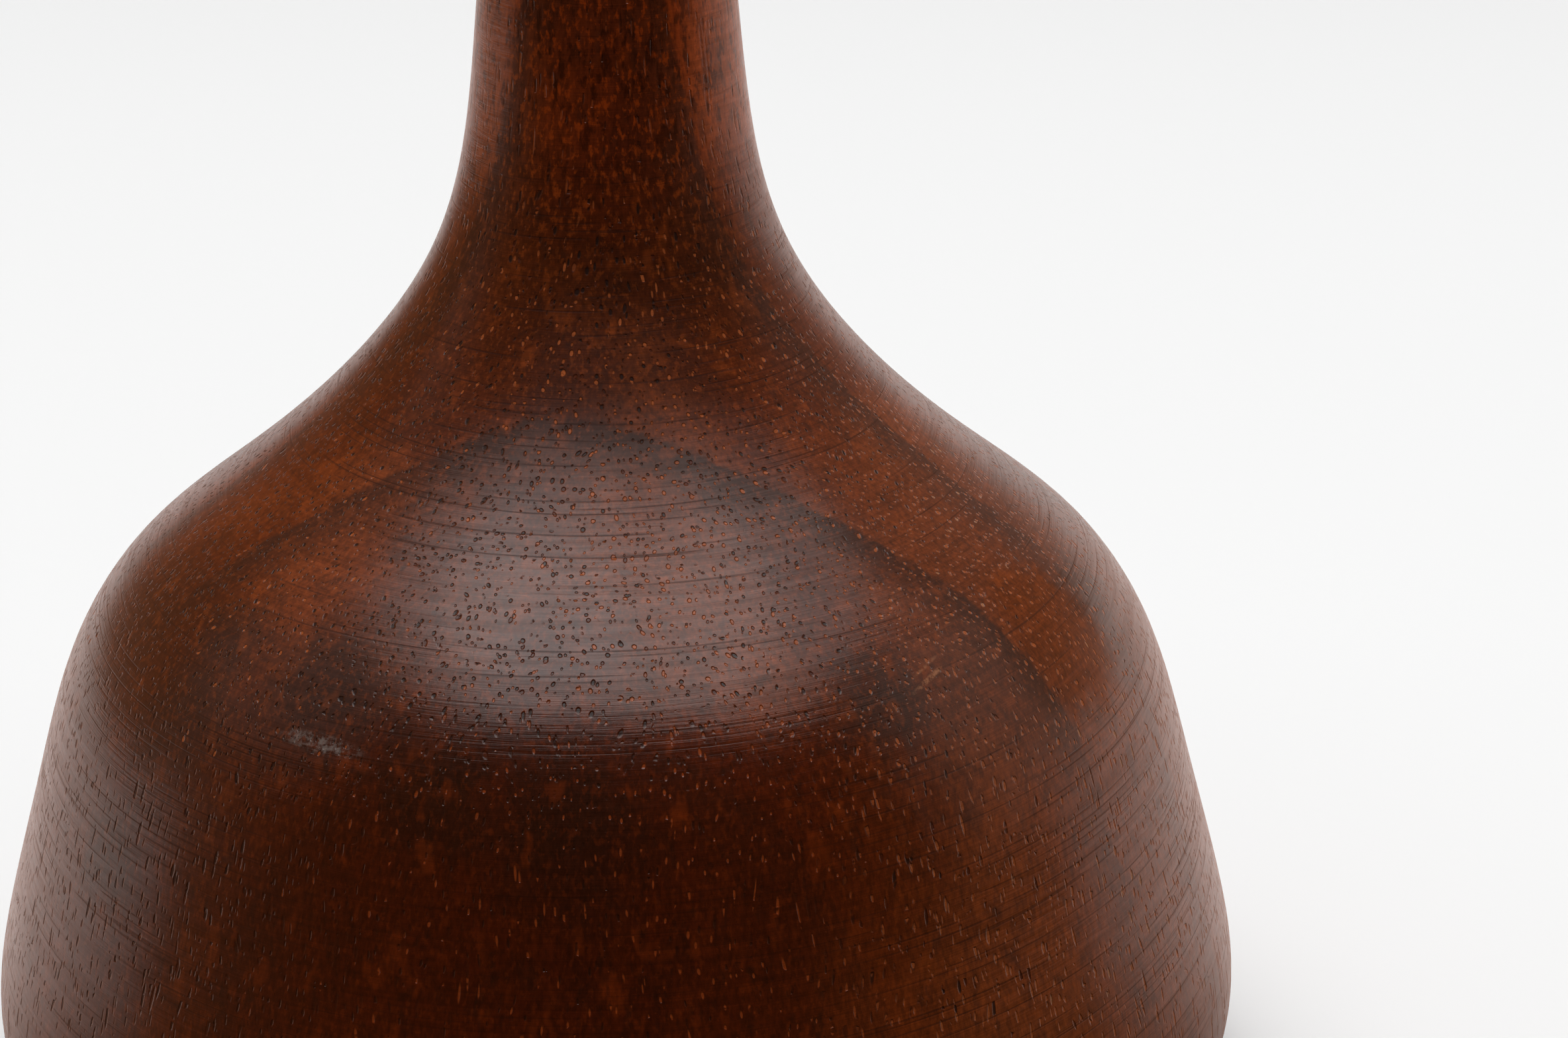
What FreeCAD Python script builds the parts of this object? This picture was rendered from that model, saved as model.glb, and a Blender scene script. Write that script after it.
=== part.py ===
import FreeCAD, Part
import math
import os

# Dip pen holder: a turned hardwood stand that keeps one dip pen upright on the desk.
# A bell-shaped foot sweeps up into a slender neck, and the neck opens into a flared mouth
# with a brass-lined socket. A steel disc in the underside keeps the stand from tipping.
# Millimetres, +Z up. The origin is on the axis, on the surface that the felt rests on.

# Driving dimensions of the turned body
WIDEST_RADIUS = 30.0
WIDEST_HEIGHT = 7.0
NECK_RADIUS = 5.5
NECK_HEIGHT = 62.0
MOUTH_RADIUS = 10.0
TOP_HEIGHT = 102.0
FOOT_ARC_RADIUS = 9.0
LIP_ARC_RADIUS = 1.4
OUTLINE_TO_NECK = [
    (29.4, 11.2),
    (27.6, 17.8),
    (25.3, 24.6),
    (22.7, 28.3),
    (17.8, 32.2),
    (12.0, 37.2),
    (8.5, 41.9),
    (6.8, 46.8),
    (5.9, 54.0),
]
OUTLINE_TO_MOUTH = [(6.4, 72.0), (7.8, 83.0), (9.3, 93.0)]

# Pen socket: a length of stock brass tube with a collar at the mouth and a cork disc below
TUBE_OUTER_RADIUS = 4.5
TUBE_WALL = 0.45
SOCKET_DEPTH = 30.0
TAIL_CUSHION_THICKNESS = 2.0
COLLAR_RADIUS = 6.8
COLLAR_THICKNESS = 2.2
COLLAR_STANDS_PROUD = 0.6
COLLAR_EDGE_ARC = 0.5

# Underside: felt, a thin cover disc, and the steel disc held by three wood screws
FELT_THICKNESS = 1.0
FELT_RADIUS = 27.0
COVER_THICKNESS = 1.6
COVER_RADIUS = 25.0
BALLAST_THICKNESS = 6.5
BALLAST_RADIUS = 21.5
BALLAST_EDGE_CHAMFER = 0.5
RECESS_GAP = 0.5
SCREW_COUNT = 3
SCREW_CIRCLE_RADIUS = 13.5
SCREW_LENGTH = 16.0
SCREW_SHANK_RADIUS = 1.75
SCREW_HEAD_RADIUS = 3.5
SCREW_HEAD_HEIGHT = 2.0
SCREW_TIP_LENGTH = 3.5
SCREW_TIP_RADIUS = 0.3
SCREW_SLOT_WIDTH = 0.9
SCREW_SLOT_DEPTH = 1.0
SCREW_HOLE_GAP = 0.15

# Levels that follow from them
WOOD_BOTTOM = FELT_THICKNESS
COVER_TOP = WOOD_BOTTOM + COVER_THICKNESS
RECESS_TOP = COVER_TOP + RECESS_GAP + BALLAST_THICKNESS
BALLAST_BOTTOM = RECESS_TOP - BALLAST_THICKNESS
COLLAR_TOP = TOP_HEIGHT + COLLAR_STANDS_PROUD
COLLAR_BOTTOM = COLLAR_TOP - COLLAR_THICKNESS
CUSHION_TOP = COLLAR_TOP - SOCKET_DEPTH
SOCKET_BOTTOM = CUSHION_TOP - TAIL_CUSHION_THICKNESS


def point(radius, height):
    """A point of an outline that is turned about the Z axis."""
    return FreeCAD.Vector(radius, 0, height)


def line(start, end):
    return Part.LineSegment(start, end).toShape()


def quarter_arc(start, centre, end):
    """An arc about a centre, from start to end, through the point halfway between them."""
    radius = (start - centre).Length
    outwards = (start + end) * 0.5 - centre
    middle = centre + outwards * (radius / outwards.Length)
    return Part.Arc(start, middle, end).toShape()


def smooth_curve(points, first_direction, last_direction):
    curve = Part.BSplineCurve()
    curve.interpolate(Points=points, InitialTangent=first_direction, FinalTangent=last_direction)
    return curve.toShape()


def turned(edges):
    """The solid that a closed outline sweeps in one turn about the Z axis."""
    face = Part.Face(Part.Wire(edges))
    return face.revolve(FreeCAD.Vector(0, 0, 0), FreeCAD.Vector(0, 0, 1), 360)


def disc(radius, bottom, top):
    return Part.makeCylinder(radius, top - bottom, FreeCAD.Vector(0, 0, bottom))


def ring(outer_radius, inner_radius, bottom, top):
    return disc(outer_radius, bottom, top).cut(disc(inner_radius, bottom, top))


def at_each_screw(shape):
    """Copies of a shape that lies on the Z axis, one at each screw's place."""
    copies = []
    for number in range(SCREW_COUNT):
        angle = math.radians(90 + number * 360 / SCREW_COUNT)
        copy = shape.copy()
        copy.translate(FreeCAD.Vector(math.cos(angle), math.sin(angle), 0) * SCREW_CIRCLE_RADIUS)
        copies.append(copy)
    return copies


def body_blank():
    """The outside of the turned body, still solid."""
    upwards = FreeCAD.Vector(0, 0, 1)
    foot_centre = point(WIDEST_RADIUS - FOOT_ARC_RADIUS, WIDEST_HEIGHT)
    foot_drop = WIDEST_HEIGHT - WOOD_BOTTOM
    foot_radius = foot_centre.x + math.sqrt(FOOT_ARC_RADIUS**2 - foot_drop**2)
    foot = point(foot_radius, WOOD_BOTTOM)
    widest = point(WIDEST_RADIUS, WIDEST_HEIGHT)
    neck = point(NECK_RADIUS, NECK_HEIGHT)
    lip_start = point(MOUTH_RADIUS, TOP_HEIGHT - LIP_ARC_RADIUS)
    lip_centre = point(MOUTH_RADIUS - LIP_ARC_RADIUS, TOP_HEIGHT - LIP_ARC_RADIUS)
    lip_end = point(MOUTH_RADIUS - LIP_ARC_RADIUS, TOP_HEIGHT)
    bell_points = [widest] + [point(*pair) for pair in OUTLINE_TO_NECK] + [neck]
    flare_points = [neck] + [point(*pair) for pair in OUTLINE_TO_MOUTH] + [lip_start]
    return turned(
        [
            line(point(0, WOOD_BOTTOM), foot),
            quarter_arc(foot, foot_centre, widest),
            smooth_curve(bell_points, upwards, upwards),
            smooth_curve(flare_points, upwards, upwards),
            quarter_arc(lip_start, lip_centre, lip_end),
            line(lip_end, point(0, TOP_HEIGHT)),
            line(point(0, TOP_HEIGHT), point(0, WOOD_BOTTOM)),
        ]
    )


def screw_shank(radius):
    """The part of a screw that the wood holds: a cylinder with a tapered point."""
    start = BALLAST_BOTTOM
    point_start = start + SCREW_LENGTH - SCREW_TIP_LENGTH
    shank = disc(radius, start, point_start)
    taper = Part.makeCone(
        radius, SCREW_TIP_RADIUS, SCREW_TIP_LENGTH, FreeCAD.Vector(0, 0, point_start)
    )
    return shank.fuse(taper)


def stand_body():
    """The wooden body, with its pen socket, underside recesses and screw holes."""
    body = body_blank()
    body = body.cut(disc(TUBE_OUTER_RADIUS, SOCKET_BOTTOM, TOP_HEIGHT))
    body = body.cut(disc(COLLAR_RADIUS, COLLAR_BOTTOM, TOP_HEIGHT))
    body = body.cut(disc(COVER_RADIUS, WOOD_BOTTOM, COVER_TOP))
    body = body.cut(disc(BALLAST_RADIUS + RECESS_GAP, WOOD_BOTTOM, RECESS_TOP))
    for hole in at_each_screw(screw_shank(SCREW_SHANK_RADIUS)):
        body = body.cut(hole)
    return body


def mouth_collar():
    """The brass ring that caps the end grain round the socket, with a rounded outer edge."""
    centre = point(COLLAR_RADIUS - COLLAR_EDGE_ARC, COLLAR_TOP - COLLAR_EDGE_ARC)
    edge_start = point(COLLAR_RADIUS, COLLAR_TOP - COLLAR_EDGE_ARC)
    edge_end = point(COLLAR_RADIUS - COLLAR_EDGE_ARC, COLLAR_TOP)
    inner_top = point(TUBE_OUTER_RADIUS, COLLAR_TOP)
    inner_bottom = point(TUBE_OUTER_RADIUS, COLLAR_BOTTOM)
    outer_bottom = point(COLLAR_RADIUS, COLLAR_BOTTOM)
    return turned(
        [
            line(inner_bottom, outer_bottom),
            line(outer_bottom, edge_start),
            quarter_arc(edge_start, centre, edge_end),
            line(edge_end, inner_top),
            line(inner_top, inner_bottom),
        ]
    )


def socket_tube():
    """The brass lining of the socket, which stands on the cork and ends level with the collar."""
    return ring(TUBE_OUTER_RADIUS, TUBE_OUTER_RADIUS - TUBE_WALL, CUSHION_TOP, COLLAR_TOP)


def tail_cushion():
    """The cork disc that the pen's end stands on."""
    return disc(TUBE_OUTER_RADIUS, SOCKET_BOTTOM, CUSHION_TOP)


def screw_head(gap):
    """A countersunk head, flush with the ballast's lower face, grown by a gap to cut its seat."""
    return Part.makeCone(
        SCREW_HEAD_RADIUS + gap,
        SCREW_SHANK_RADIUS + gap,
        SCREW_HEAD_HEIGHT,
        FreeCAD.Vector(0, 0, BALLAST_BOTTOM),
    )


def ballast_disc():
    """The steel disc, drilled and countersunk for its screws, with broken edges."""
    ballast = disc(BALLAST_RADIUS, BALLAST_BOTTOM, RECESS_TOP)
    rims = [edge for edge in ballast.Edges if isinstance(edge.Curve, Part.Circle)]
    ballast = ballast.makeChamfer(BALLAST_EDGE_CHAMFER, rims)
    through_hole = disc(SCREW_SHANK_RADIUS + SCREW_HOLE_GAP, BALLAST_BOTTOM, RECESS_TOP)
    for hole in at_each_screw(through_hole.fuse(screw_head(SCREW_HOLE_GAP))):
        ballast = ballast.cut(hole)
    return ballast


def ballast_screws():
    """Slotted countersunk wood screws, separate solids in one group."""
    slot = Part.makeBox(
        2 * SCREW_HEAD_RADIUS,
        SCREW_SLOT_WIDTH,
        SCREW_SLOT_DEPTH,
        FreeCAD.Vector(-SCREW_HEAD_RADIUS, -SCREW_SLOT_WIDTH / 2, BALLAST_BOTTOM),
    )
    screw = screw_shank(SCREW_SHANK_RADIUS).fuse(screw_head(0)).cut(slot).removeSplitter()
    return Part.makeCompound(at_each_screw(screw))


def recess_cover():
    """The fibreboard disc that closes the recess and backs the felt."""
    return disc(COVER_RADIUS, WOOD_BOTTOM, COVER_TOP)


def base_felt():
    """The felt disc that the stand rests on."""
    return disc(FELT_RADIUS, 0, FELT_THICKNESS)


NODES = {
    "stand_body": stand_body,
    "mouth_collar": mouth_collar,
    "socket_tube": socket_tube,
    "tail_cushion": tail_cushion,
    "ballast_disc": ballast_disc,
    "ballast_screws": ballast_screws,
    "recess_cover": recess_cover,
    "base_felt": base_felt,
}

os.makedirs("parts", exist_ok=True)
for name, make in NODES.items():
    shape = make()
    if not shape.isValid():
        raise ValueError(f"{name} is not a valid shape")
    shape.exportStep(f"parts/{name}.step")
    print(name, len(shape.Solids), "solid(s),", round(shape.Volume), "cubic mm")
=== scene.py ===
import math

import bpy
import numpy as np
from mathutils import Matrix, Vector, noise


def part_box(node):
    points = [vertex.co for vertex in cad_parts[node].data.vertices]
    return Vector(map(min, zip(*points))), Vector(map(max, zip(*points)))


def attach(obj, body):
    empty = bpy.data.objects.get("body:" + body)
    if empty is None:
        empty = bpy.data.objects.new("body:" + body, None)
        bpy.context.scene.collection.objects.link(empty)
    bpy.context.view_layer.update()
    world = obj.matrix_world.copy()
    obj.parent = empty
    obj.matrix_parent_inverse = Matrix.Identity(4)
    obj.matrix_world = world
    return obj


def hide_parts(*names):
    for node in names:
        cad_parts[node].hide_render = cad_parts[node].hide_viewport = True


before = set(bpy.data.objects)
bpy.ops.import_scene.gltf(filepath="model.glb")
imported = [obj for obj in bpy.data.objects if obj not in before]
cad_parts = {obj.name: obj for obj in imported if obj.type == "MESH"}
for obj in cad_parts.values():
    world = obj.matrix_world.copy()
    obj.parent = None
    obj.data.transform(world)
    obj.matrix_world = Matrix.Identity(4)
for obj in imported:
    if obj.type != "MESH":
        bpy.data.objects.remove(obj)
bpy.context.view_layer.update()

MM = 0.001
# A radius below this counts as a point on the axis
ON_AXIS = 1e-7
# A face whose normal leans away from the axis by more than this lies on the outside
OUTWARD = 0.05
SHARP_ANGLE = 50


# ---------------------------------------------------------------- turned shapes


def round_corners(corners, cut):
    """An outline of (radius, height) corners, with each inner corner rounded by a small curve."""
    points = [np.array(corners[0], float)]
    for before, here, after in zip(corners, corners[1:], corners[2:]):
        before, here, after = (np.array(corner, float) for corner in (before, here, after))
        to_before = (before - here) / np.linalg.norm(before - here)
        to_after = (after - here) / np.linalg.norm(after - here)
        start = here + to_before * cut
        end = here + to_after * cut
        for share in (0, 0.25, 0.5, 0.75, 1):
            points.append(start * (1 - share) ** 2 + here * 2 * share * (1 - share) + end * share**2)
    points.append(np.array(corners[-1], float))
    return np.array(points)


def even_steps(outline, step):
    """The same smooth outline with its points an even step apart, by cubic Hermite spans."""
    lengths = np.r_[0, np.cumsum(np.linalg.norm(np.diff(outline, axis=0), axis=1))]
    slopes = np.gradient(outline, lengths, axis=0)
    wanted = np.linspace(0, lengths[-1], int(lengths[-1] / step) + 1)
    span = np.clip(np.searchsorted(lengths, wanted, side="right") - 1, 0, len(lengths) - 2)
    width = (lengths[span + 1] - lengths[span])[:, None]
    share = (wanted - lengths[span])[:, None] / width
    return (
        outline[span] * (2 * share**3 - 3 * share**2 + 1)
        + slopes[span] * width * (share**3 - 2 * share**2 + share)
        + outline[span + 1] * (3 * share**2 - 2 * share**3)
        + slopes[span + 1] * width * (share**3 - share**2)
    )


def outer_outline(node):
    """The outside of a turned CAD node as (radius, height) points, from its lowest to its highest."""
    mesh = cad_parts[node].data
    found = {}
    for face in mesh.polygons:
        outward = Vector((face.center.x, face.center.y, 0)).normalized()
        if face.normal.dot(outward) > OUTWARD:
            for index in face.vertices:
                place = mesh.vertices[index].co
                found[round(place.z, 7)] = math.hypot(place.x, place.y)
    return np.array([(found[height], height) for height in sorted(found)])


def turned(name, outline, segments):
    """A mesh turned about Z from an outline. Points on the axis become one pole each.
    Its float attribute "along" is the distance along the outline, which turning marks follow."""
    along = np.r_[0, np.cumsum(np.linalg.norm(np.diff(outline, axis=0), axis=1))]
    angles = np.arange(segments) * 2 * math.pi / segments
    vertices, distances, rows = [], [], []
    for (radius, height), distance in zip(outline, along):
        if radius < ON_AXIS:
            row = [(0, 0, height)]
        else:
            row = [(radius * math.cos(angle), radius * math.sin(angle), height) for angle in angles]
        rows.append(range(len(vertices), len(vertices) + len(row)))
        vertices += row
        distances += [distance] * len(row)
    faces = []
    for lower, upper in zip(rows, rows[1:]):
        for i in range(segments):
            j = (i + 1) % segments
            corners = [lower[i % len(lower)], lower[j % len(lower)]]
            corners += [upper[j % len(upper)], upper[i % len(upper)]]
            faces.append(list(dict.fromkeys(corners)))
    mesh = bpy.data.meshes.new(name)
    mesh.from_pydata(vertices, [], faces)
    attribute = mesh.attributes.new("along", "FLOAT", "POINT")
    attribute.data.foreach_set("value", np.array(distances, np.float32))
    mesh.polygons.foreach_set("use_smooth", [True] * len(faces))
    mesh.set_sharp_from_angle(angle=math.radians(SHARP_ANGLE))
    mesh.validate()
    piece = bpy.data.objects.new(name, mesh)
    bpy.context.scene.collection.objects.link(piece)
    return piece


# ---------------------------------------------------------------- node materials


class Shader:
    """A procedural material. Most methods add one node and return what it puts out."""

    def __init__(self, name):
        self.material = bpy.data.materials.new(name)
        self.material.use_nodes = True
        self.tree = self.material.node_tree
        self.surface = self.tree.nodes["Principled BSDF"]

    def add(self, kind, values, **settings):
        node = self.tree.nodes.new(kind)
        for setting, value in settings.items():
            setattr(node, setting, value)
        for socket, value in values.items():
            if isinstance(value, bpy.types.NodeSocket):
                self.tree.links.new(value, node.inputs[socket])
            elif value is not None:
                node.inputs[socket].default_value = value
        return node

    def set(self, **values):
        for socket, value in values.items():
            target = self.surface.inputs[socket.replace("_", " ")]
            if isinstance(value, bpy.types.NodeSocket):
                self.tree.links.new(value, target)
            else:
                target.default_value = value

    def position_mm(self):
        """Where the shaded point lies in the object's frame, in millimetres."""
        place = self.add("ShaderNodeTexCoord", {}).outputs["Object"]
        return self.scaled(place, 1 / MM)

    def math(self, operation, a, b=None, c=None, clamp=False):
        node = self.add("ShaderNodeMath", {0: a, 1: b, 2: c}, operation=operation, use_clamp=clamp)
        return node.outputs[0]

    def times(self, a, b):
        return self.math("MULTIPLY", a, b)

    def line(self, value, slope, start, clamp=False):
        """value * slope + start."""
        return self.math("MULTIPLY_ADD", value, slope, start, clamp)

    def centred(self, value, width):
        """Turns a value from 0 to 1 into one from -width / 2 to width / 2."""
        return self.line(value, width, -width / 2)

    def larger(self, a, b):
        return self.math("MAXIMUM", a, b)

    def step(self, value, low, high, to_low=0.0, to_high=1.0):
        """A smooth change from to_low to to_high as value goes from low to high."""
        values = {"Value": value, "From Min": low, "From Max": high, "To Min": to_low, "To Max": to_high}
        return self.add("ShaderNodeMapRange", values, interpolation_type="SMOOTHSTEP").outputs["Result"]

    def zone(self, *ramps):
        """Where several steps hold at once: their product. Each ramp is what step takes."""
        found = self.step(*ramps[0])
        for ramp in ramps[1:]:
            found = self.times(found, self.step(*ramp))
        return found

    def vector(self, operation, a, b=None):
        node = self.add("ShaderNodeVectorMath", {0: a, 1: b}, operation=operation)
        return node.outputs["Value" if operation in ("LENGTH", "DOT_PRODUCT", "DISTANCE") else "Vector"]

    def scaled(self, vector, scale):
        values = {0: vector, "Scale": scale}
        return self.add("ShaderNodeVectorMath", values, operation="SCALE").outputs["Vector"]

    def separate(self, vector):
        return self.add("ShaderNodeSeparateXYZ", {0: vector}).outputs

    def combine(self, x, y, z):
        return self.add("ShaderNodeCombineXYZ", {0: x, 1: y, 2: z}).outputs[0]

    def noise(self, vector, detail=2.0, roughness=0.5, colour=False):
        values = {"Vector": vector, "Scale": 1.0, "Detail": detail, "Roughness": roughness}
        node = self.add("ShaderNodeTexNoise", values)
        return node.outputs["Color" if colour else "Fac"]

    def grain(self, place, across, upright, detail=2.0, roughness=0.5, colour=False):
        """Noise that is longer up the grain than across it. The scales are per millimetre."""
        place = self.vector("MULTIPLY", place, (across, across, upright))
        return self.noise(place, detail, roughness, colour)

    def mix(self, share, a, b, blend="MIX"):
        node = self.add("ShaderNodeMix", {}, data_type="RGBA", blend_type=blend, clamp_factor=True)
        for index, value in ((0, share), (6, a), (7, b)):
            if isinstance(value, bpy.types.NodeSocket):
                self.tree.links.new(value, node.inputs[index])
            else:
                node.inputs[index].default_value = value
        return node.outputs[2]

    def shaded(self, colour, red, green, blue):
        """The colour times one number for each channel."""
        return self.mix(1.0, colour, self.combine(red, green, blue), blend="MULTIPLY")

    def bump(self, height_mm):
        values = {"Strength": 1.0, "Distance": MM, "Height": height_mm}
        return self.add("ShaderNodeBump", values).outputs["Normal"]


def tint(red, green, blue):
    return (red, green, blue, 1.0)


# ---------------------------------------------------------------- the turned wood

# Colours are linear, lengths are millimetres
ORANGE_BROWN = tint(0.128, 0.0238, 0.0038)
RED_BROWN = tint(0.062, 0.0092, 0.0013)
DARK_RED = tint(0.024, 0.0040, 0.0010)
LATE_WOOD = tint(0.019, 0.0064, 0.0040)
ORANGE_FLECK = tint(0.36, 0.066, 0.0080)
DARK_PORE = tint(0.010, 0.0050, 0.0050)
RED_PORE = tint(0.060, 0.0095, 0.0030)
ORANGE_PORE = tint(0.36, 0.085, 0.022)
PALE_PORE = tint(0.38, 0.15, 0.065)
# A dusty grey: the colour of the scuff, and of the haze that is a painted highlight
DUST_AND_PAINTED_HAZE = tint(0.22, 0.18, 0.16)
PITH = (-21.0, -170.0, 0.0)
# Each growth layer's end: its distance from the pith, and how dark its late wood is, high and low
LAYERS = (
    (147.3, 0.55, 0.25),
    (158.8, 1.0, 0.35),
    (166.2, 0.9, 0.5),
    (175.4, 0.7, 0.4),
    (184.1, 0.9, 0.5),
    (191.0, 0.7, 0.5),
)
LATE_DEPTH = 4.5
LATE_EDGE = 0.3
# Dark stains: the centre and radius of each
STAINS = (
    ((-11.8, -20.1, 27.6), 4.6),
    ((-19.0, -16.0, 25.4), 5.4),
    ((-22.0, -10.2, 26.6), 8.0),
    ((-16.5, -15.2, 28.0), 3.6),
    ((-22.0, -16.0, 18.8), 3.4),
    ((-7.4, -24.3, 24.6), 4.4),
    ((10.5, -20.5, 26.5), 3.4),
    ((21.6, -9.0, 27.8), 3.2),
    ((-2.0, -25.4, 23.4), 5.5),
)
# How turning marks lean: their change of level with x and with y
MARKS_SLANT = -0.02
MARKS_RISE = -0.13
# Vessels: the spacing, the radius, and a shift that keeps the two sizes from lining up
LARGE_VESSELS = (0.48, 0.100, 0.0)
SMALL_VESSELS = (0.40, 0.065, 31.0)
VESSEL_WANDER = 1.3
# Rubbed places on the shoulder and which way the marks on them run, with one pale haze that is a painted
# highlight
GRAZES = (13.0, -19.6, 27.4)
GRAZES_RUN = (0.63, 0.70, 0.32)
GRAZE_LENGTH = 1.6
GRAZE_WIDTH = 0.16
# Centre of the haze, a painted highlight: the reflection of the softbox spread over a rougher surface
PAINTED_HAZE = (15.0, -19.5, 26.0)
SCUFF = (-12.2, -21.4, 25.7)
SCUFF_RUN = (0.86, -0.51, -0.07)
SCUFF_LENGTH = 2.4
SCUFF_WIDTH = 0.5
WORN_WAX = (19.2, -13.6, 27.3)
# Heights of the relief: below the surface if negative
LARGE_VESSEL_RELIEF = -0.028
SMALL_VESSEL_RELIEF = -0.02
SCRATCH_RELIEF = -0.004
HATCH_RELIEF = 0.0020
BAND_RELIEF = 0.0025
FIBRE_RELIEF = 0.004


class WoodPoint:
    """The shaded point in the wood, and how much of each zone of the object it lies in (0 to 1)."""

    def __init__(self, shader):
        self.place = shader.position_mm()
        self.x, self.y, self.z = shader.separate(self.place)
        self.aside = shader.math("ABSOLUTE", self.x)
        along = shader.add("ShaderNodeAttribute", {}, attribute_name="along").outputs["Fac"]
        self.along = shader.times(along, 1 / MM)
        # A slow unevenness that keeps the edges of stains and layers from being smooth
        self.waver = shader.grain(self.place, 1.2, 0.25)
        # The lower front is dark and even, partly painted shade; the throat is dark red, with painted
        # shade in its middle; and the neck is the palest, partly painted light
        self.front_low = shader.zone((self.y, -19.5, -24.5), (self.z, 28.5, 25.0), (self.x, 14.0, 6.0))
        self.throat = shader.zone((self.z, 34.0, 38.0), (self.z, 50.0, 45.0))
        self.neck = shader.zone((self.z, 42.0, 50.0), (self.z, 80.0, 60.0, 0.25, 1.0))


def late_wood(shader, point):
    """How dark the late wood is. Each growth layer darkens away from the pith and ends in a sharp
    line. The dark stains are added to it."""
    bend = shader.grain(point.place, 0.09, 0.03)
    plan = shader.vector("MULTIPLY", shader.vector("SUBTRACT", point.place, PITH), (1, 1, 0))
    depth = shader.math("ADD", shader.vector("LENGTH", plan), shader.centred(bend, 1.6))
    depth = shader.math("ADD", depth, shader.centred(point.waver, 0.5))
    late = 0.0
    for end, high, low in LAYERS:
        strength = shader.step(point.z, 20.0, 27.5, low, high)
        rise = shader.math("POWER", shader.step(depth, end - LATE_DEPTH, end), 2.6)
        rise = shader.times(rise, shader.step(depth, end + LATE_EDGE, end, 0, strength))
        late = shader.larger(rise, late)
    patch = shader.line(point.x, 0.003, shader.grain(point.place, 0.21, 0.06, 3, 0.55))
    late = shader.times(late, shader.step(patch, 0.26, 0.50, 0.65, 1.0))
    for centre, radius in STAINS:
        away = shader.vector("DISTANCE", point.place, centre)
        away = shader.math("ADD", away, shader.centred(point.waver, 3.6))
        late = shader.larger(late, shader.step(away, radius, radius * 0.15, 0.0, 0.95))
    return late


def ground_colour(shader, point, fibre):
    """Orange to red brown in long patches, with dark mottling, late wood and fine fibre streaks."""
    warm = shader.grain(point.place, 0.13, 0.04, 2.5)
    warm = shader.line(point.x, 0.006, warm)
    # The lower front and the throat are made less orange: partly their own colour, partly painted shade
    warm = shader.line(point.front_low, -0.25, warm)
    warm = shader.line(point.throat, -0.13, warm)
    colour = shader.mix(shader.step(warm, 0.34, 0.66), RED_BROWN, ORANGE_BROWN)
    mottle = shader.grain(point.place, 0.42, 0.2, 4, 0.62)
    colour = shader.mix(shader.step(mottle, 0.53, 0.74, 0.0, 0.6), colour, DARK_RED)
    colour = shader.mix(shader.times(late_wood(shader, point), 0.9), colour, LATE_WOOD)
    blotch = shader.grain(point.place, 1.3, 0.6, 3, 0.6)
    colour = shader.mix(shader.step(blotch, 0.55, 0.70, 0.0, 0.5), colour, LATE_WOOD)
    streak = shader.step(fibre, 0.25, 0.75, 0.62, 1.42)
    return shader.shaded(colour, streak, streak, streak)


def tone_and_painted_light(shader, point):
    """How much paler or darker the wood is in each zone: 1 is as the ground colour is. Partly the wood's
    own tone, partly painted light and shade.
    """
    x, z = point.x, point.z
    # The neck: paler in its own tone, and paler still to the right, a painted light where the side light
    # falls
    neck_tone_and_painted_light = shader.step(x, 0.5, 5.0, 1.4, 2.8)
    # The low flanks: painted light, paler where the pale surround at the sides would light them
    low_flank_painted_light = shader.larger(shader.step(x, 6.0, 13.0), shader.step(x, -22.0, -26.0))
    low_flank_painted_light = shader.times(low_flank_painted_light, shader.step(z, 26.5, 21.0))
    # The right of the sweep: painted light from the right
    right_sweep_painted_light = shader.zone((x, 3.0, 9.0), (z, 32.0, 37.0), (z, 52.0, 46.0))
    left_shoulder = shader.zone((x, -9.0, -15.0), (z, 28.5, 30.5))
    right_shoulder = shader.zone((x, 11.0, 15.0), (z, 33.0, 31.0))
    # The middle of the throat: painted shade in the hollow under the neck
    throat_middle_painted_shade = shader.times(point.throat, shader.step(point.aside, 6.0, 2.0))
    paler = 1.0
    for zone, gain in (
        (point.neck, neck_tone_and_painted_light),
        (low_flank_painted_light, 0.65),
        (right_sweep_painted_light, 0.4),
        (left_shoulder, 0.35),
        (right_shoulder, -0.15),
        (throat_middle_painted_shade, -0.28),
        # The lower front: darker, partly its own tone and partly painted shade
        (point.front_low, -0.12),
    ):
        paler = shader.line(zone, gain, paler)
    return paler


def add_flecks(shader, point, colour):
    """Soft orange flecks and short dark streaks, most of all on the neck."""
    fleck = shader.grain(point.place, 4.2, 2.2, 3, 0.6)
    share = shader.line(point.neck, 0.72, shader.line(point.front_low, -0.10, 0.22))
    colour = shader.mix(shader.times(shader.step(fleck, 0.50, 0.68), share), colour, ORANGE_FLECK)
    drift = shader.grain(point.place, 1.1, 0.45)
    colour = shader.mix(shader.times(shader.step(drift, 0.56, 0.70), 0.18), colour, ORANGE_FLECK)
    dark = shader.grain(point.place, 2.5, 1.0, 3, 0.6)
    share = shader.line(point.neck, 0.35, 0.35)
    return shader.mix(shader.times(shader.step(dark, 0.52, 0.66), share), colour, DARK_RED)


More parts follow.
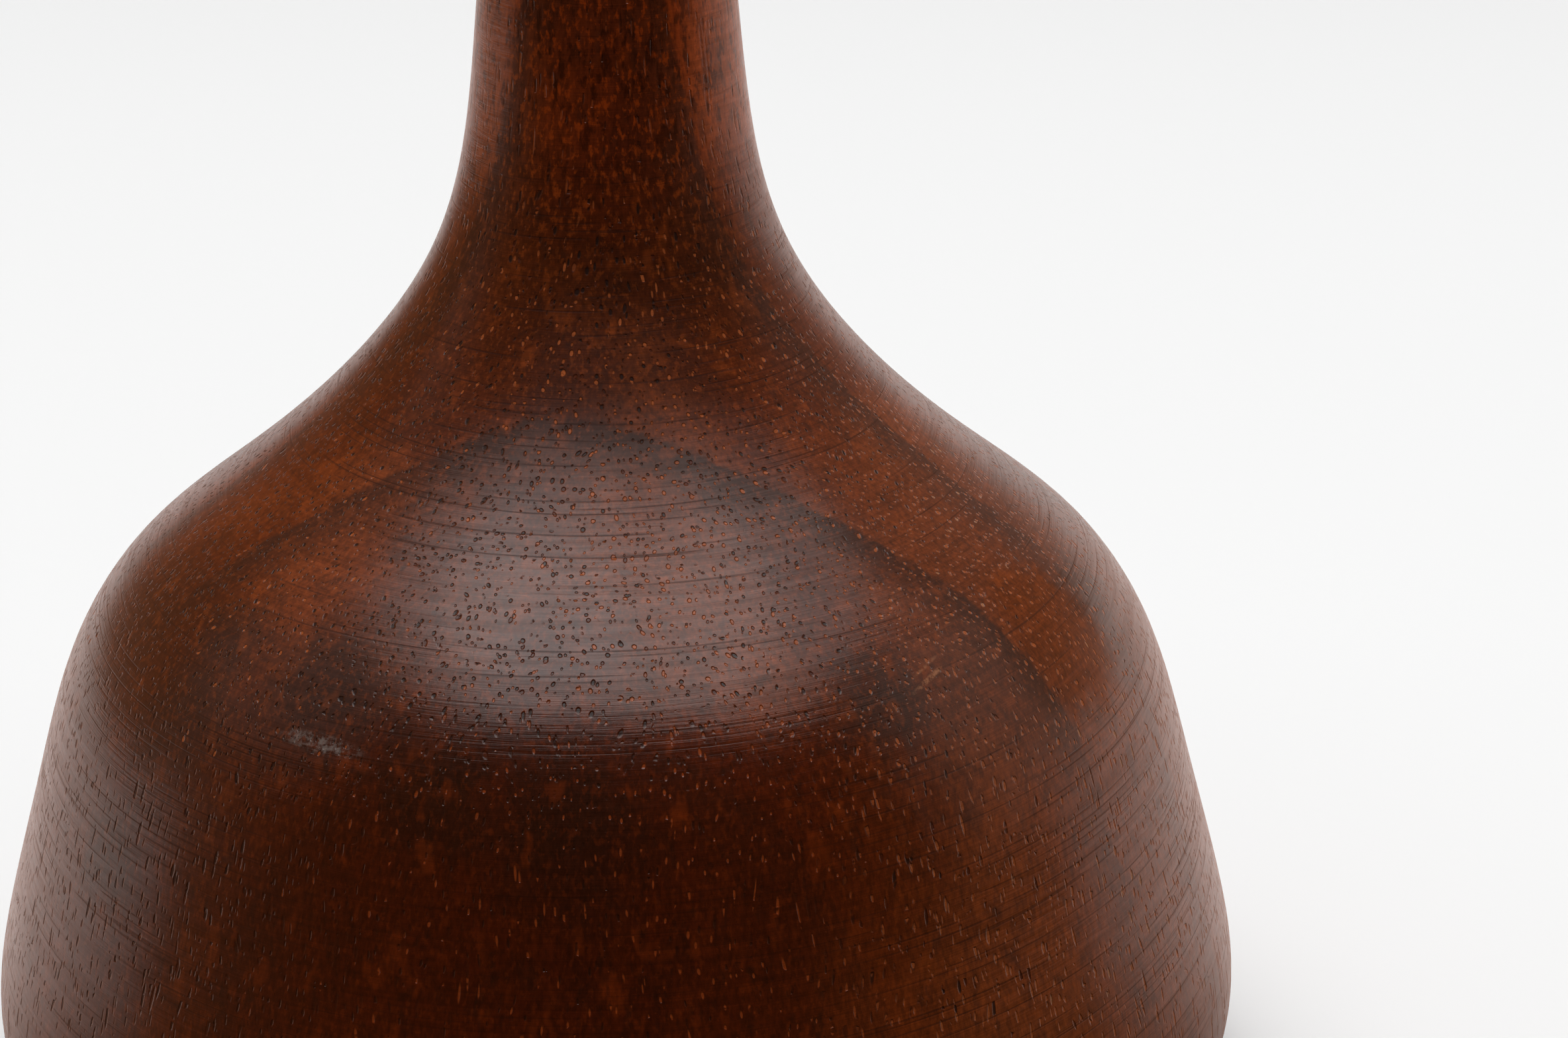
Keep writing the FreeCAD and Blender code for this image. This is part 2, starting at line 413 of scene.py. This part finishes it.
def pores(shader, place, spacing, radius, shift):
    """Upright vessels. Returns how far inside a vessel the point is (0 to 1) and a number that is
    the same all over one vessel. On end grain a vessel shows as a dot, on the sides as a dash."""
    wander = shader.grain(place, 0.35, 0.16, 1, colour=True)
    wander = shader.vector("SUBTRACT", wander, (0.5, 0.5, 0.5))
    wander = shader.vector("MULTIPLY", wander, (VESSEL_WANDER, VESSEL_WANDER, 0))
    moved = shader.vector("ADD", shader.vector("ADD", place, wander), (shift, shift * 0.37, 0))
    values = {"Vector": moved, "Scale": 1 / spacing}
    cells = shader.add("ShaderNodeTexVoronoi", values, voronoi_dimensions="2D")
    own = shader.separate(cells.outputs["Color"])
    distance = shader.times(cells.outputs["Distance"], spacing)
    size = shader.line(own[0], radius * 0.45, radius * 0.7)
    inside = shader.step(shader.math("DIVIDE", distance, size), 1.05, 0.45)
    upright = shader.vector("MULTIPLY", place, (1.1, 1.1, 2.3))
    breaks = shader.noise(shader.vector("ADD", upright, (shift, 0, 0)), detail=1)
    return shader.times(inside, shader.step(breaks, 0.42, 0.50)), own[1]


def add_vessels(shader, point, bare, colour):
    """Large vessels, then small ones between them. Their linings go from dark on the left to
    orange and pale on the right. Returns the colour and the two sizes (0 to 1)."""
    fill = shader.grain(point.place, 0.12, 0.05, 1)
    large, large_own = pores(shader, point.place, *LARGE_VESSELS)
    small, small_own = pores(shader, point.place, *SMALL_VESSELS)
    large = shader.times(large, bare)
    kind = shader.math("ADD", large_own, shader.line(fill, 1.2, -0.70))
    kind = shader.line(shader.larger(point.x, -9.0), 0.030, kind)
    lining = shader.mix(shader.step(kind, 0.38, 0.46), DARK_PORE, RED_PORE)
    lining = shader.mix(shader.step(kind, 0.56, 0.66), lining, ORANGE_PORE)
    lining = shader.mix(shader.step(kind, 1.34, 1.44), lining, PALE_PORE)
    colour = shader.mix(shader.times(large, 0.92), colour, DARK_PORE)
    colour = shader.mix(shader.times(shader.step(large, 0.35, 0.85), 0.85), colour, lining)
    kind = shader.line(point.x, 0.028, small_own)
    kind = shader.line(point.front_low, 0.22, kind)
    lining = shader.mix(shader.step(kind, 0.58, 0.68), DARK_PORE, ORANGE_PORE)
    return shader.mix(shader.times(small, 0.62), colour, lining), large, small


def turning_noise(shader, place, level, round_scale, fineness):
    """Noise drawn out round the axis, which varies fast from one level to the next."""
    flat = shader.vector("MULTIPLY", place, (1, 1, 0))
    xyz = shader.separate(shader.scaled(shader.vector("NORMALIZE", flat), round_scale))
    spot = shader.combine(xyz[0], xyz[1], shader.times(level, fineness))
    return shader.noise(spot, detail=1.5)


def scratches(shader, place, level, round_scale, spacing, width, share):
    """Thin scratches round the axis, nearly parallel, unevenly spaced and broken into arcs. The
    share is how much of them shows. Returns 0 to 1."""
    drift = turning_noise(shader, place, level, 0.5, 0.3)
    course = shader.line(drift, 1.1, level)
    phase = shader.math("FRACT", shader.math("DIVIDE", course, spacing))
    away = shader.times(shader.math("ABSOLUTE", shader.math("SUBTRACT", phase, 0.5)), spacing)
    broken = turning_noise(shader, place, level, round_scale, 0.8 / spacing)
    shown = shader.step(broken, 0.64 - 0.3 * share, 0.74 - 0.3 * share)
    return shader.times(shader.step(away, width * 0.7, width * 0.3), shown)


def turning_marks(shader, point, bare):
    """Marks of the chisel and of sanding: thin dark arcs, fine hatching and wider bands."""
    # A mark lies where the level is constant: the distance along the outline, leaning a little
    level = shader.line(point.x, MARKS_SLANT, point.along)
    level = shader.line(point.y, MARKS_RISE, level)
    bundle = shader.step(turning_noise(shader, point.place, level, 1.1, 0.55), 0.44, 0.58)
    off_flank = shader.math("ABSOLUTE", shader.math("SUBTRACT", point.z, 19.0))
    bundle = shader.larger(bundle, shader.step(off_flank, 5.0, 2.5, 0.0, 0.9))
    arcs = scratches(shader, point.place, level, 2.4, spacing=0.34, width=0.065, share=0.5)
    single = scratches(shader, point.place, level, 1.5, spacing=1.1, width=0.07, share=0.4)
    lines = shader.times(shader.larger(shader.times(arcs, bundle), single), bare)
    hatch = shader.step(turning_noise(shader, point.place, level, 6.0, 24.0), 0.30, 0.70)
    bands = shader.step(turning_noise(shader, point.place, level, 2.6, 4.6), 0.30, 0.70)
    return lines, hatch, bands


def add_marks(shader, point, bare, marks, colour):
    """The marks darken the wood. The lower front and the middle of the neck lose green and blue, which
    darkens and reddens them: partly their own colour, partly painted shade.
    """
    lines, hatch, bands = marks
    colour = shader.mix(shader.times(lines, 0.55), colour, DARK_PORE)
    shade = shader.line(shader.times(hatch, bare), -0.22, 1.10)
    shade = shader.times(shade, shader.line(bands, -0.20, 1.10))
    neck_middle = shader.times(point.neck, shader.step(point.aside, 5.2, 2.2))
    deep_painted_shade = shader.larger(neck_middle, point.front_low)
    green = shader.times(shade, shader.line(deep_painted_shade, -0.28, 1.0))
    blue = shader.times(shade, shader.line(deep_painted_shade, -0.5, 1.0))
    return shader.shaded(colour, shade, green, blue)


def rubbed_spot(shader, place, centre, direction, length, width):
    """A rubbed mark on the surface: an oval of the given length and width, torn at its edge."""
    offset = shader.vector("SUBTRACT", place, centre)
    ahead = shader.vector("DOT_PRODUCT", offset, tuple(Vector(direction).normalized()))
    reach = shader.vector("LENGTH", offset)
    aside = shader.math("SUBTRACT", shader.math("POWER", reach, 2.0), shader.math("POWER", ahead, 2.0))
    oval = shader.times(aside, 1 / width**2)
    oval = shader.line(shader.math("POWER", ahead, 2.0), 1 / length**2, oval)
    tear = shader.noise(shader.scaled(place, 2.6), detail=4, roughness=0.7)
    return shader.zone((oval, 1.0, 0.1), (tear, 0.42, 0.62))


def add_wear_and_painted_haze(shader, point, colour):
    """Three short grazes on the right of the shoulder and one dusty scuff on the left, which are wear,
    and a thin haze on the right, which is a painted highlight.
    """
    for shift in (-0.35, 0.0, 0.3):
        centre = (GRAZES[0] - shift, GRAZES[1] + shift, GRAZES[2] + shift)
        length = GRAZE_LENGTH - abs(shift)
        graze = rubbed_spot(shader, point.place, centre, GRAZES_RUN, length, GRAZE_WIDTH)
        colour = shader.mix(shader.times(graze, 0.7), colour, PALE_PORE)
    scuff = rubbed_spot(shader, point.place, SCUFF, SCUFF_RUN, SCUFF_LENGTH, SCUFF_WIDTH)
    colour = shader.mix(shader.times(scuff, 0.6), colour, DUST_AND_PAINTED_HAZE)
    # The haze: a painted highlight, a faint grey veil where the reflection spreads
    away = shader.line(point.waver, 4.0, shader.vector("DISTANCE", point.place, PAINTED_HAZE))
    return shader.mix(shader.step(away, 9.0, 3.5, 0.0, 0.09), colour, DUST_AND_PAINTED_HAZE)


def wax(shader, point, marks, open_vessel):
    """How much wax lies on the wood: polished where hands reach, dull in the hollow of the sweep and
    on one rubbed place, thinner in the marks and thinnest in the vessels."""
    lines, hatch, bands = marks
    facing = shader.add("ShaderNodeLayerWeight", {"Blend": 0.5}).outputs["Facing"]
    dull = shader.zone((point.z, 31.0, 38.5), (point.z, 49.0, 43.0), (facing, 0.44, 0.20))
    away = shader.line(point.waver, 3.0, shader.vector("DISTANCE", point.place, WORN_WAX))
    dull = shader.larger(dull, shader.step(away, 6.5, 4.0, 0.0, 0.7))
    coat = shader.line(dull, -0.96, 1.0)
    coat = shader.times(coat, shader.line(hatch, -0.25, 1.08, clamp=True))
    coat = shader.times(coat, shader.line(bands, -0.22, 1.05, clamp=True))
    coat = shader.times(coat, shader.line(lines, -0.45, 1.0))
    unfilled = shader.larger(shader.step(point.z, 27.0, 22.0), shader.step(point.x, -8.0, -13.0))
    unfilled = shader.times(open_vessel, shader.line(unfilled, 0.35, 0.30))
    return shader.times(coat, shader.math("SUBTRACT", 1.0, unfilled))


def turned_wood():
    shader = Shader("turned_wood")
    point = WoodPoint(shader)
    fibre = shader.grain(point.place, 5.0, 1.3, 4, 0.65)
    # Large vessels and scratches hardly show on the neck and the lower front
    bare = shader.math("ADD", shader.times(point.neck, 0.75), shader.times(point.front_low, 0.7))
    bare = shader.math("SUBTRACT", 1.0, bare)
    marks = turning_marks(shader, point, bare)
    colour = ground_colour(shader, point, fibre)
    paler = tone_and_painted_light(shader, point)
    colour = shader.shaded(colour, paler, paler, paler)
    colour = add_flecks(shader, point, colour)
    colour, large, small = add_vessels(shader, point, bare, colour)
    colour = add_marks(shader, point, bare, marks, colour)
    colour = add_wear_and_painted_haze(shader, point, colour)
    coat = wax(shader, point, marks, shader.larger(large, small))
    rough = shader.line(fibre, 0.16, 0.48)
    height = shader.times(large, LARGE_VESSEL_RELIEF)
    lines, hatch, bands = marks
    for pattern, relief in (
        (small, SMALL_VESSEL_RELIEF),
        (lines, SCRATCH_RELIEF),
        (hatch, HATCH_RELIEF),
        (bands, BAND_RELIEF),
        (fibre, FIBRE_RELIEF),
    ):
        height = shader.line(pattern, relief, height)
    normal = shader.bump(height)
    shader.set(Base_Color=colour, Roughness=rough, Normal=normal, Coat_Weight=coat, Coat_Normal=normal)
    shader.set(Specular_IOR_Level=0.03, Coat_Roughness=0.19, Coat_IOR=1.5)
    shader.set(Sheen_Weight=0.3, Sheen_Roughness=0.55, Sheen_Tint=tint(1.0, 0.30, 0.08))
    return shader.material


# ---------------------------------------------------------------- the other materials

CORK_GRAINS_PER_MM = 1.4


def brass():
    shader = Shader("brass")
    place = shader.position_mm()
    height = shader.separate(place)[2]
    tarnish = shader.noise(shader.scaled(place, 0.5), detail=4, roughness=0.6)
    colour = shader.mix(shader.step(tarnish, 0.4, 0.7), tint(0.78, 0.52, 0.20), tint(0.42, 0.25, 0.09))
    handled = shader.noise(shader.scaled(place, 2.4), detail=3, roughness=0.7)
    colour = shader.mix(shader.step(handled, 0.60, 0.72, 0.0, 0.5), colour, tint(0.20, 0.10, 0.04))
    marks = shader.step(turning_noise(shader, place, height, 1.5, 14.0), 0.3, 0.7)
    rough = shader.line(tarnish, 0.3, 0.12)
    rough = shader.line(handled, 0.1, rough)
    shader.set(Base_Color=colour, Metallic=1.0, Roughness=rough)
    shader.set(Normal=shader.bump(shader.times(marks, 0.0015)))
    return shader.material


def cork():
    shader = Shader("cork")
    place = shader.position_mm()
    grains = shader.add("ShaderNodeTexVoronoi", {"Vector": place, "Scale": CORK_GRAINS_PER_MM})
    own = shader.separate(grains.outputs["Color"])
    colour = shader.mix(own[0], tint(0.50, 0.30, 0.15), tint(0.30, 0.16, 0.07))
    gaps = shader.step(grains.outputs["Distance"], 0.45, 0.75)
    colour = shader.mix(gaps, colour, tint(0.10, 0.05, 0.025))
    speckle = shader.noise(shader.scaled(place, 6.0), detail=3)
    height = shader.line(gaps, -0.1, shader.times(speckle, 0.06))
    shader.set(Base_Color=colour, Roughness=0.85, Normal=shader.bump(height))
    return shader.material


def felt():
    shader = Shader("felt")
    place = shader.position_mm()
    fibres = shader.noise(shader.vector("MULTIPLY", place, (9, 5, 14)), detail=5, roughness=0.7)
    clumps = shader.noise(shader.scaled(place, 0.9), detail=3)
    shade = shader.math("ADD", shader.times(fibres, 0.7), shader.times(clumps, 0.3))
    colour = shader.mix(shader.step(shade, 0.3, 0.7), tint(0.018, 0.055, 0.028), tint(0.06, 0.15, 0.085))
    height = shader.times(fibres, 0.12)
    shader.set(Base_Color=colour, Roughness=0.95, Normal=shader.bump(height))
    shader.set(Sheen_Weight=0.35, Sheen_Roughness=0.5)
    return shader.material


def steel(name, colour, rings_per_mm):
    """Turned steel: fine rings round the axis and brown stains."""
    shader = Shader(name)
    place = shader.position_mm()
    height = shader.separate(place)[2]
    reach = shader.vector("LENGTH", shader.vector("MULTIPLY", place, (1, 1, 0)))
    rings = shader.noise(shader.combine(shader.times(reach, rings_per_mm), height, 0.0), detail=2)
    stain = shader.noise(shader.scaled(place, 0.25), detail=4)
    stained = shader.mix(shader.step(stain, 0.45, 0.7, 0.0, 0.5), colour, tint(0.16, 0.12, 0.09))
    rough = shader.line(stain, 0.3, 0.2)
    normal = shader.bump(shader.times(rings, 0.006))
    shader.set(Base_Color=stained, Metallic=1.0, Roughness=rough, Normal=normal)
    return shader.material


def fibreboard():
    shader = Shader("fibreboard")
    place = shader.position_mm()
    flecks = shader.noise(shader.vector("MULTIPLY", place, (2.5, 6.0, 6.0)), detail=5, roughness=0.7)
    colour = shader.mix(shader.step(flecks, 0.35, 0.65), tint(0.16, 0.09, 0.05), tint(0.30, 0.19, 0.11))
    height = shader.times(flecks, 0.03)
    shader.set(Base_Color=colour, Roughness=0.8, Normal=shader.bump(height))
    return shader.material


# ---------------------------------------------------------------- pieces

# Steps round each turned piece
BODY_SEGMENTS = 168
COLLAR_SEGMENTS = 128
CORK_SEGMENTS = 72
FELT_SEGMENTS = 240
RECESS_GAP = 0.5 * MM
UNDERSIDE_ROUNDING = 0.12 * MM
SOCKET_ROUNDING = 0.1 * MM
OUTLINE_STEP = 0.26 * MM
# The outer surface starts this far above the last point of the underside
OUTLINE_SEAM = 0.02 * MM
COLLAR_ROUNDING = 0.35 * MM
CORK_ROUNDING = 0.15 * MM
CORK_ROW = 0.25 * MM
CORK_GAP_WIDTH = 0.35
CORK_GAP_DEPTH = 0.16 * MM
CORK_TOP_CUT = 0.02 * MM
CORK_TOP = 0.3 * MM
FELT_ROUNDING = 0.3 * MM
FELT_ROW = 0.6 * MM
FELT_RIM_WIDTH = 0.5 * MM
FELT_RIM_CUT = 0.10 * MM
FELT_NAP = 0.05 * MM
NAP_WAVES_PER_MM = 1.1


def radius_of(node):
    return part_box(node)[1].x


def levels(node):
    low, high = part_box(node)
    return low.z, high.z


def place_piece(piece, node, material):
    piece.data.materials.append(material)
    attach(piece, "root")
    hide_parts(node)


def dress(node, material):
    """Gives a CAD node that stays in view its own procedural material."""
    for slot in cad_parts[node].material_slots:
        slot.material = material


def body_outline():
    """The whole outline of the wooden body: recess, foot, bell, neck, mouth and socket."""
    outside = outer_outline("stand_body")
    foot, lip = outside[0], outside[-1]
    recess_radius = radius_of("ballast_disc") + RECESS_GAP
    recess_top = levels("ballast_disc")[1]
    cover_radius = radius_of("recess_cover")
    cover_top = levels("recess_cover")[1]
    collar_radius = radius_of("mouth_collar")
    collar_bottom = levels("mouth_collar")[0]
    bore_radius = radius_of("tail_cushion")
    bore_bottom = levels("tail_cushion")[0]
    underside = [
        (0, recess_top),
        (recess_radius, recess_top),
        (recess_radius, cover_top),
        (cover_radius, cover_top),
        (cover_radius, foot[1]),
        tuple(foot),
        tuple(outside[1]),
    ]
    socket = [
        tuple(lip),
        (collar_radius, lip[1]),
        (collar_radius, collar_bottom),
        (bore_radius, collar_bottom),
        (bore_radius, bore_bottom),
        (0, bore_bottom),
    ]
    underside = round_corners(underside, UNDERSIDE_ROUNDING)
    socket = round_corners(socket, SOCKET_ROUNDING)
    surface = even_steps(outside, OUTLINE_STEP)
    surface = surface[surface[:, 1] > underside[-2, 1] + OUTLINE_SEAM]
    return np.vstack([underside[:-1], surface, socket[1:]])


def make_body():
    piece = turned("turned_body", body_outline(), BODY_SEGMENTS)
    place_piece(piece, "stand_body", turned_wood())


def make_collar(material):
    low, high = levels("mouth_collar")
    outer = radius_of("mouth_collar")
    inner = radius_of("tail_cushion")
    corners = [(inner, low), (outer, low), (outer, high), (inner, high), (inner, low)]
    outline = round_corners(corners, COLLAR_ROUNDING)
    piece = turned("collar_ring", outline, COLLAR_SEGMENTS)
    place_piece(piece, "mouth_collar", material)


def disc_outline(node, row, edge):
    """A closed disc the size of a CAD node, with rounded rims and its points at most a row apart."""
    low, high = levels(node)
    radius = radius_of(node)
    outline = round_corners([(0, low), (radius, low), (radius, high), (0, high)], edge)
    points = [tuple(outline[0])]
    for start, end in zip(outline, outline[1:]):
        parts = max(1, round(math.dist(start, end) / row))
        points += [tuple(start + (end - start) * (part + 1) / parts) for part in range(parts)]
    return np.array(points)


def make_cork():
    """The cork disc at the bottom of the socket. Its top sinks a little between the cork's grains."""
    piece = turned("cork_stop", disc_outline("tail_cushion", CORK_ROW, CORK_ROUNDING), CORK_SEGMENTS)
    high = levels("tail_cushion")[1]
    for vertex in piece.data.vertices:
        if vertex.co.z > high - CORK_TOP:
            near, next_near = noise.voronoi(vertex.co / MM * CORK_GRAINS_PER_MM)[0][:2]
            gap = max(0.0, CORK_GAP_WIDTH - (next_near - near)) / CORK_GAP_WIDTH
            vertex.co.z -= CORK_GAP_DEPTH * gap + CORK_TOP_CUT
    place_piece(piece, "tail_cushion", cork())


def make_felt():
    """The felt disc under the foot: a cut sheet with a soft, slightly uneven rim and nap."""
    piece = turned("felt_pad", disc_outline("base_felt", FELT_ROW, FELT_ROUNDING), FELT_SEGMENTS)
    low, high = levels("base_felt")
    radius = radius_of("base_felt")
    for vertex in piece.data.vertices:
        reach = math.hypot(vertex.co.x, vertex.co.y)
        nap = noise.fractal(vertex.co / MM * NAP_WAVES_PER_MM, 0.6, 2.0, 3)
        if reach > radius - FELT_RIM_WIDTH:
            shrink = 1 - FELT_RIM_CUT * (1 + nap) / reach
            vertex.co.x *= shrink
            vertex.co.y *= shrink
        elif vertex.co.z < (low + high) / 2:
            vertex.co.z += max(0.0, FELT_NAP * (1 + nap))
    place_piece(piece, "base_felt", felt())


# ---------------------------------------------------------------- the studio, in metres

FLOOR_SIZE = 4.0
PAPER_SEEN = 0.84
PAPER_GIVEN = 0.72
SURROUND_TINT = tint(1.0, 0.995, 0.985)
LENS = 68.4
SENSOR_WIDTH = 36.0
CAMERA_PLACE = (0, -0.1371, 0.0682)
LOOKS_DOWN = 16.0
LOOKS_RIGHT = 3.36


def make_stage():
    mesh = bpy.data.meshes.new("floor")
    corners = [(x * FLOOR_SIZE, y * FLOOR_SIZE, 0) for x, y in ((-1, -1), (1, -1), (1, 1), (-1, 1))]
    mesh.from_pydata(corners, [], [(0, 1, 2, 3)])
    floor = bpy.data.objects.new("floor", mesh)
    bpy.context.scene.collection.objects.link(floor)
    shader = Shader("floor_paper")
    # The camera sees plain paper. What the paper gives back to the object falls away in front,
    # on the side where the photographer stands: a painted shade for the photographer and the camera.
    forward = shader.separate(shader.position_mm())[1]
    given = shader.step(forward, -25.0, 25.0, 0.0, PAPER_GIVEN)
    seen = shader.add("ShaderNodeLightPath", {}).outputs["Is Camera Ray"]
    shade = shader.larger(shader.times(seen, PAPER_SEEN), given)
    shader.set(Base_Color=shader.combine(shade, shade, shade), Roughness=0.8, Specular_IOR_Level=0.1)
    mesh.materials.append(shader.material)


def make_light(name, place, width, depth, radiance):
    """A rectangular soft light that points straight down and gives the same radiance all over."""
    data = bpy.data.lights.new(name, "AREA")
    data.shape = "RECTANGLE"
    data.size, data.size_y = width, depth
    data.energy = radiance * math.pi * width * depth
    light = bpy.data.objects.new(name, data)
    light.location = place
    bpy.context.scene.collection.objects.link(light)
    return light


def make_lights():
    """A softbox overhead, brightest left of its middle, and a weak fill that gives no reflections."""
    make_light("softbox", (0.04, -0.22, 2.0), 2.5, 2.05, 1.3)
    make_light("softbox_middle", (-0.06, -0.22, 1.99), 1.6, 2.0, 1.2)
    make_light("softbox_core", (-0.40, -0.15, 1.98), 0.9, 0.9, 0.75)
    fill = make_light("fill", (0.0, 0.6, 3.0), 4.5, 4.5, 1.0)
    fill.visible_glossy = False


def make_world():
    """A studio with a low pale surround behind the object and one dark gap in it at the left, a
    dim panel high on each side, and darkness in front and above."""
    world = bpy.data.worlds.new("studio")
    bpy.context.scene.world = world
    world.use_nodes = True
    tree = world.node_tree
    direction = tree.nodes.new("ShaderNodeTexCoord").outputs["Generated"]

    def fade(axis, low, high, to_low, to_high):
        along = tree.nodes.new("ShaderNodeVectorMath")
        along.operation = "DOT_PRODUCT"
        along.inputs[1].default_value = axis
        tree.links.new(direction, along.inputs[0])
        ramp = tree.nodes.new("ShaderNodeMapRange")
        ramp.interpolation_type = "SMOOTHSTEP"
        tree.links.new(along.outputs["Value"], ramp.inputs["Value"])
        ends = {"From Min": low, "From Max": high, "To Min": to_low, "To Max": to_high}
        for socket, value in ends.items():
            ramp.inputs[socket].default_value = value
        return ramp.outputs["Result"]

    def join(operation, a, b):
        node = tree.nodes.new("ShaderNodeMath")
        node.operation = operation
        tree.links.new(a, node.inputs[0])
        tree.links.new(b, node.inputs[1])
        return node.outputs[0]

    behind = fade((0.04, 1.0, 0), -0.65, 1.2, 0.0, 0.94)
    low_down = fade((-0.09, 0, 1), 0.02, 0.28, 1.0, 0.2)
    gap = fade((-0.74, 0.62, 0.26), 0.84, 0.96, 1.0, 0.12)
    surround = join("MULTIPLY", join("MULTIPLY", behind, low_down), gap)
    for side in (-0.77, 0.77):
        surround = join("MAXIMUM", surround, fade((side, 0.0, 0.64), 0.86, 0.99, 0.0, 0.22))
    background = tree.nodes["Background"]
    background.inputs["Color"].default_value = SURROUND_TINT
    tree.links.new(surround, background.inputs["Strength"])


def make_camera():
    data = bpy.data.cameras.new("camera")
    data.sensor_width = SENSOR_WIDTH
    data.lens = LENS
    data.clip_start = 0.01
    data.clip_end = 20.0
    camera = bpy.data.objects.new("camera", data)
    camera.location = CAMERA_PLACE
    camera.rotation_euler = (math.radians(90 - LOOKS_DOWN), 0, math.radians(-LOOKS_RIGHT))
    bpy.context.scene.collection.objects.link(camera)
    bpy.context.scene.camera = camera


polished_brass = brass()
make_body()
make_collar(polished_brass)
make_cork()
make_felt()
dress("socket_tube", polished_brass)
dress("ballast_disc", steel("ballast_steel", tint(0.36, 0.35, 0.34), rings_per_mm=9.0))
dress("ballast_screws", steel("screw_steel", tint(0.52, 0.51, 0.49), rings_per_mm=16.0))
dress("recess_cover", fibreboard())
make_stage()
make_world()
make_lights()
make_camera()
bpy.context.scene.view_settings.view_transform = "Standard"
